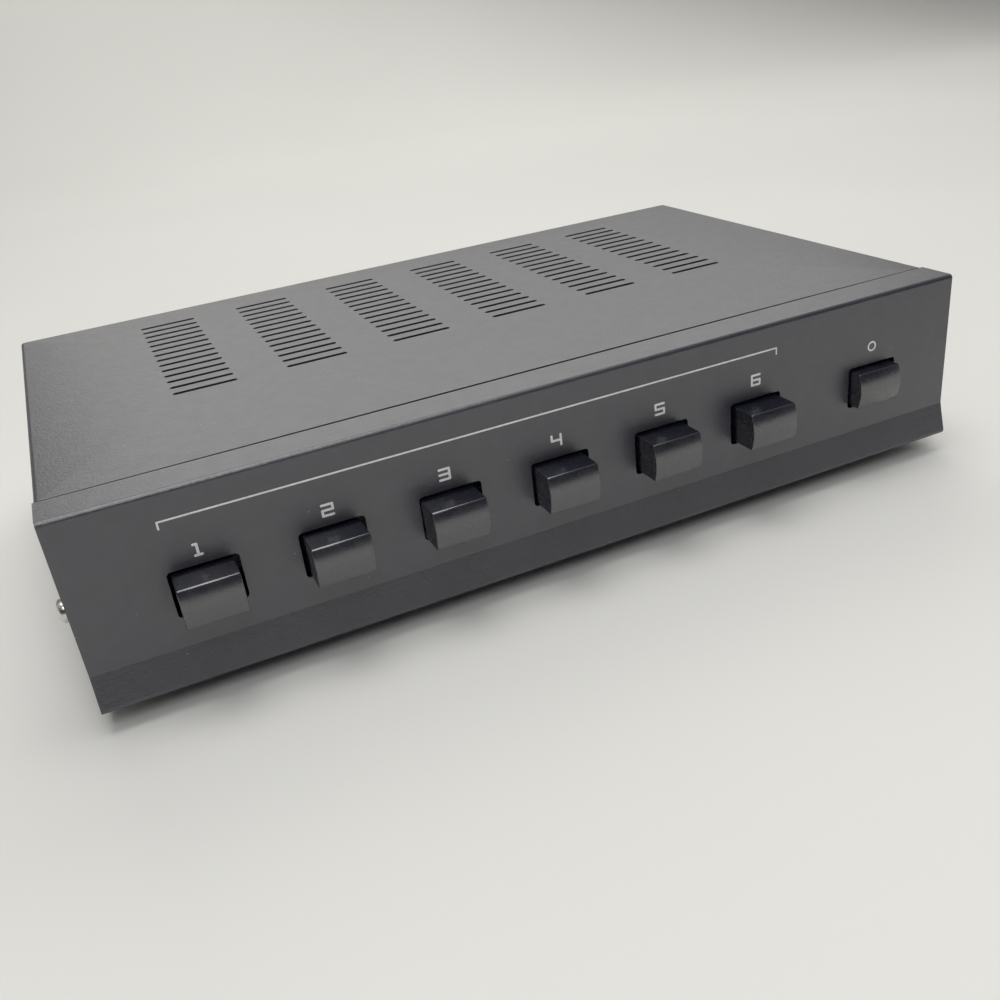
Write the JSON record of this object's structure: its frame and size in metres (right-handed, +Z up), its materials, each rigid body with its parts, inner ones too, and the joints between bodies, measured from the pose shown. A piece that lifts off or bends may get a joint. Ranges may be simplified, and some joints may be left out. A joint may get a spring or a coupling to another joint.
{
  "type": "speaker selector switch",
  "caption": "Flat steel speaker selector box with a vented cover, a row of latching push buttons and rear spring-clip wire terminals.",
  "frame": {"origin": "on the surface it stands on, under the middle of the whole object's box", "axes": "+X to the right as seen from the front, +Y to the rear, +Z up"},
  "size_m": [0.2904, 0.1862, 0.0624],
  "materials": {
    "case_paint": "fine satin powder coat",
    "cap_plastic": "moulded, satin",
    "switch_plastic": "moulded",
    "switch_case": "tinned steel",
    "zinc_screw": "bright nickel plate",
    "black_screw": "black oxide",
    "spring_steel": "bare wire",
    "board": "solder mask on glass fibre",
    "cement": "cement",
    "standoff_brass": "plain brass",
    "terminal_black": "moulded",
    "lever_red": "moulded, glossy",
    "lever_black": "moulded, glossy",
    "contact_metal": "nickel-plated strip",
    "foot_rubber": "soft black rubber"
  },
  "bodies": {
    "case": {"chassis": "case_paint", "top_cover": "case_paint", "cover_side_screws": "zinc_screw", "cover_side_washers": "zinc_screw", "cover_rear_screws": "black_screw", "rubber_feet": "foot_rubber", "foot_screws": "zinc_screw", "foot_nuts": "zinc_screw", "main_board": "board", "board_standoffs": "standoff_brass", "board_screws": "zinc_screw", "standoff_screws": "zinc_screw", "switch_bodies": "switch_case", "switch_return_springs": "spring_steel", "protection_resistors": "cement", "terminal_housings": "terminal_black", "terminal_contacts": "contact_metal", "terminal_screws": "black_screw"},
    "button_1": {"button_1_cap": "cap_plastic", "button_1_plunger": "switch_plastic"},
    "button_2": {"button_2_cap": "cap_plastic", "button_2_plunger": "switch_plastic"},
    "button_3": {"button_3_cap": "cap_plastic", "button_3_plunger": "switch_plastic"},
    "button_4": {"button_4_cap": "cap_plastic", "button_4_plunger": "switch_plastic"},
    "button_5": {"button_5_cap": "cap_plastic", "button_5_plunger": "switch_plastic"},
    "button_6": {"button_6_cap": "cap_plastic", "button_6_plunger": "switch_plastic"},
    "protection_button": {"protection_button_cap": "cap_plastic", "protection_button_plunger": "switch_plastic"},
    "input_left_plus_lever": {"input_left_plus_lever": "lever_red"},
    "input_left_minus_lever": {"input_left_minus_lever": "lever_black"},
    "input_right_plus_lever": {"input_right_plus_lever": "lever_red"},
    "input_right_minus_lever": {"input_right_minus_lever": "lever_black"},
    "output_1_left_plus_lever": {"output_1_left_plus_lever": "lever_red"},
    "output_1_left_minus_lever": {"output_1_left_minus_lever": "lever_black"},
    "output_1_right_plus_lever": {"output_1_right_plus_lever": "lever_red"},
    "output_1_right_minus_lever": {"output_1_right_minus_lever": "lever_black"},
    "output_2_left_plus_lever": {"output_2_left_plus_lever": "lever_red"},
    "output_2_left_minus_lever": {"output_2_left_minus_lever": "lever_black"},
    "output_2_right_plus_lever": {"output_2_right_plus_lever": "lever_red"},
    "output_2_right_minus_lever": {"output_2_right_minus_lever": "lever_black"},
    "output_3_left_plus_lever": {"output_3_left_plus_lever": "lever_red"},
    "output_3_left_minus_lever": {"output_3_left_minus_lever": "lever_black"},
    "output_3_right_plus_lever": {"output_3_right_plus_lever": "lever_red"},
    "output_3_right_minus_lever": {"output_3_right_minus_lever": "lever_black"},
    "output_4_left_plus_lever": {"output_4_left_plus_lever": "lever_red"},
    "output_4_left_minus_lever": {"output_4_left_minus_lever": "lever_black"},
    "output_4_right_plus_lever": {"output_4_right_plus_lever": "lever_red"},
    "output_4_right_minus_lever": {"output_4_right_minus_lever": "lever_black"},
    "output_5_left_plus_lever": {"output_5_left_plus_lever": "lever_red"},
    "output_5_left_minus_lever": {"output_5_left_minus_lever": "lever_black"},
    "output_5_right_plus_lever": {"output_5_right_plus_lever": "lever_red"},
    "output_5_right_minus_lever": {"output_5_right_minus_lever": "lever_black"},
    "output_6_left_plus_lever": {"output_6_left_plus_lever": "lever_red"},
    "output_6_left_minus_lever": {"output_6_left_minus_lever": "lever_black"},
    "output_6_right_plus_lever": {"output_6_right_plus_lever": "lever_red"},
    "output_6_right_minus_lever": {"output_6_right_minus_lever": "lever_black"}
  },
  "joints": [
    {"name": "button_1_push", "type": "slide", "parent": "case", "child": "button_1", "axis": [0, 1, 0], "range_m": [0, 0.0054], "stiffness_N_per_m": 300, "springref_m": -0.004},
    {"name": "button_2_push", "type": "slide", "parent": "case", "child": "button_2", "axis": [0, 1, 0], "range_m": [0, 0.0054], "stiffness_N_per_m": 300, "springref_m": -0.004},
    {"name": "button_3_push", "type": "slide", "parent": "case", "child": "button_3", "axis": [0, 1, 0], "range_m": [0, 0.0054], "stiffness_N_per_m": 300, "springref_m": -0.004},
    {"name": "button_4_push", "type": "slide", "parent": "case", "child": "button_4", "axis": [0, 1, 0], "range_m": [0, 0.0054], "stiffness_N_per_m": 300, "springref_m": -0.004},
    {"name": "button_5_push", "type": "slide", "parent": "case", "child": "button_5", "axis": [0, 1, 0], "range_m": [0, 0.0054], "stiffness_N_per_m": 300, "springref_m": -0.004},
    {"name": "button_6_push", "type": "slide", "parent": "case", "child": "button_6", "axis": [0, 1, 0], "range_m": [0, 0.0054], "stiffness_N_per_m": 300, "springref_m": -0.004},
    {"name": "protection_button_push", "type": "slide", "parent": "case", "child": "protection_button", "axis": [0, 1, 0], "range_m": [-0.0049, 0.0005], "stiffness_N_per_m": 300},
    {"name": "input_left_plus_press", "type": "hinge", "parent": "case", "child": "input_left_plus_lever", "pos_m": [-0.1254, 0.088, 0.0425], "axis": [-1, 0, 0], "range_deg": [0, 16], "stiffness_Nm_per_rad": 0.05, "springref_deg": -8.59},
    {"name": "input_left_minus_press", "type": "hinge", "parent": "case", "child": "input_left_minus_lever", "pos_m": [-0.1168, 0.088, 0.0425], "axis": [-1, 0, 0], "range_deg": [0, 16], "stiffness_Nm_per_rad": 0.05, "springref_deg": -8.59},
    {"name": "input_right_plus_press", "type": "hinge", "parent": "case", "child": "input_right_plus_lever", "pos_m": [-0.1082, 0.088, 0.0425], "axis": [-1, 0, 0], "range_deg": [0, 16], "stiffness_Nm_per_rad": 0.05, "springref_deg": -8.59},
    {"name": "input_right_minus_press", "type": "hinge", "parent": "case", "child": "input_right_minus_lever", "pos_m": [-0.0996, 0.088, 0.0425], "axis": [-1, 0, 0], "range_deg": [0, 16], "stiffness_Nm_per_rad": 0.05, "springref_deg": -8.59},
    {"name": "output_1_left_plus_press", "type": "hinge", "parent": "case", "child": "output_1_left_plus_lever", "pos_m": [-0.0879, 0.088, 0.0425], "axis": [-1, 0, 0], "range_deg": [0, 16], "stiffness_Nm_per_rad": 0.05, "springref_deg": -8.59},
    {"name": "output_1_left_minus_press", "type": "hinge", "parent": "case", "child": "output_1_left_minus_lever", "pos_m": [-0.0793, 0.088, 0.0425], "axis": [-1, 0, 0], "range_deg": [0, 16], "stiffness_Nm_per_rad": 0.05, "springref_deg": -8.59},
    {"name": "output_1_right_plus_press", "type": "hinge", "parent": "case", "child": "output_1_right_plus_lever", "pos_m": [-0.0707, 0.088, 0.0425], "axis": [-1, 0, 0], "range_deg": [0, 16], "stiffness_Nm_per_rad": 0.05, "springref_deg": -8.59},
    {"name": "output_1_right_minus_press", "type": "hinge", "parent": "case", "child": "output_1_right_minus_lever", "pos_m": [-0.0621, 0.088, 0.0425], "axis": [-1, 0, 0], "range_deg": [0, 16], "stiffness_Nm_per_rad": 0.05, "springref_deg": -8.59},
    {"name": "output_2_left_plus_press", "type": "hinge", "parent": "case", "child": "output_2_left_plus_lever", "pos_m": [-0.0504, 0.088, 0.0425], "axis": [-1, 0, 0], "range_deg": [0, 16], "stiffness_Nm_per_rad": 0.05, "springref_deg": -8.59},
    {"name": "output_2_left_minus_press", "type": "hinge", "parent": "case", "child": "output_2_left_minus_lever", "pos_m": [-0.0418, 0.088, 0.0425], "axis": [-1, 0, 0], "range_deg": [0, 16], "stiffness_Nm_per_rad": 0.05, "springref_deg": -8.59},
    {"name": "output_2_right_plus_press", "type": "hinge", "parent": "case", "child": "output_2_right_plus_lever", "pos_m": [-0.0332, 0.088, 0.0425], "axis": [-1, 0, 0], "range_deg": [0, 16], "stiffness_Nm_per_rad": 0.05, "springref_deg": -8.59},
    {"name": "output_2_right_minus_press", "type": "hinge", "parent": "case", "child": "output_2_right_minus_lever", "pos_m": [-0.0246, 0.088, 0.0425], "axis": [-1, 0, 0], "range_deg": [0, 16], "stiffness_Nm_per_rad": 0.05, "springref_deg": -8.59},
    {"name": "output_3_left_plus_press", "type": "hinge", "parent": "case", "child": "output_3_left_plus_lever", "pos_m": [-0.0129, 0.088, 0.0425], "axis": [-1, 0, 0], "range_deg": [0, 16], "stiffness_Nm_per_rad": 0.05, "springref_deg": -8.59},
    {"name": "output_3_left_minus_press", "type": "hinge", "parent": "case", "child": "output_3_left_minus_lever", "pos_m": [-0.0043, 0.088, 0.0425], "axis": [-1, 0, 0], "range_deg": [0, 16], "stiffness_Nm_per_rad": 0.05, "springref_deg": -8.59},
    {"name": "output_3_right_plus_press", "type": "hinge", "parent": "case", "child": "output_3_right_plus_lever", "pos_m": [0.0043, 0.088, 0.0425], "axis": [-1, 0, 0], "range_deg": [0, 16], "stiffness_Nm_per_rad": 0.05, "springref_deg": -8.59},
    {"name": "output_3_right_minus_press", "type": "hinge", "parent": "case", "child": "output_3_right_minus_lever", "pos_m": [0.0129, 0.088, 0.0425], "axis": [-1, 0, 0], "range_deg": [0, 16], "stiffness_Nm_per_rad": 0.05, "springref_deg": -8.59},
    {"name": "output_4_left_plus_press", "type": "hinge", "parent": "case", "child": "output_4_left_plus_lever", "pos_m": [0.0246, 0.088, 0.0425], "axis": [-1, 0, 0], "range_deg": [0, 16], "stiffness_Nm_per_rad": 0.05, "springref_deg": -8.59},
    {"name": "output_4_left_minus_press", "type": "hinge", "parent": "case", "child": "output_4_left_minus_lever", "pos_m": [0.0332, 0.088, 0.0425], "axis": [-1, 0, 0], "range_deg": [0, 16], "stiffness_Nm_per_rad": 0.05, "springref_deg": -8.59},
    {"name": "output_4_right_plus_press", "type": "hinge", "parent": "case", "child": "output_4_right_plus_lever", "pos_m": [0.0418, 0.088, 0.0425], "axis": [-1, 0, 0], "range_deg": [0, 16], "stiffness_Nm_per_rad": 0.05, "springref_deg": -8.59},
    {"name": "output_4_right_minus_press", "type": "hinge", "parent": "case", "child": "output_4_right_minus_lever", "pos_m": [0.0504, 0.088, 0.0425], "axis": [-1, 0, 0], "range_deg": [0, 16], "stiffness_Nm_per_rad": 0.05, "springref_deg": -8.59},
    {"name": "output_5_left_plus_press", "type": "hinge", "parent": "case", "child": "output_5_left_plus_lever", "pos_m": [0.0621, 0.088, 0.0425], "axis": [-1, 0, 0], "range_deg": [0, 16], "stiffness_Nm_per_rad": 0.05, "springref_deg": -8.59},
    {"name": "output_5_left_minus_press", "type": "hinge", "parent": "case", "child": "output_5_left_minus_lever", "pos_m": [0.0707, 0.088, 0.0425], "axis": [-1, 0, 0], "range_deg": [0, 16], "stiffness_Nm_per_rad": 0.05, "springref_deg": -8.59},
    {"name": "output_5_right_plus_press", "type": "hinge", "parent": "case", "child": "output_5_right_plus_lever", "pos_m": [0.0793, 0.088, 0.0425], "axis": [-1, 0, 0], "range_deg": [0, 16], "stiffness_Nm_per_rad": 0.05, "springref_deg": -8.59},
    {"name": "output_5_right_minus_press", "type": "hinge", "parent": "case", "child": "output_5_right_minus_lever", "pos_m": [0.0879, 0.088, 0.0425], "axis": [-1, 0, 0], "range_deg": [0, 16], "stiffness_Nm_per_rad": 0.05, "springref_deg": -8.59},
    {"name": "output_6_left_plus_press", "type": "hinge", "parent": "case", "child": "output_6_left_plus_lever", "pos_m": [0.0996, 0.088, 0.0425], "axis": [-1, 0, 0], "range_deg": [0, 16], "stiffness_Nm_per_rad": 0.05, "springref_deg": -8.59},
    {"name": "output_6_left_minus_press", "type": "hinge", "parent": "case", "child": "output_6_left_minus_lever", "pos_m": [0.1082, 0.088, 0.0425], "axis": [-1, 0, 0], "range_deg": [0, 16], "stiffness_Nm_per_rad": 0.05, "springref_deg": -8.59},
    {"name": "output_6_right_plus_press", "type": "hinge", "parent": "case", "child": "output_6_right_plus_lever", "pos_m": [0.1168, 0.088, 0.0425], "axis": [-1, 0, 0], "range_deg": [0, 16], "stiffness_Nm_per_rad": 0.05, "springref_deg": -8.59},
    {"name": "output_6_right_minus_press", "type": "hinge", "parent": "case", "child": "output_6_right_minus_lever", "pos_m": [0.1254, 0.088, 0.0425], "axis": [-1, 0, 0], "range_deg": [0, 16], "stiffness_Nm_per_rad": 0.05, "springref_deg": -8.59}
  ]
}
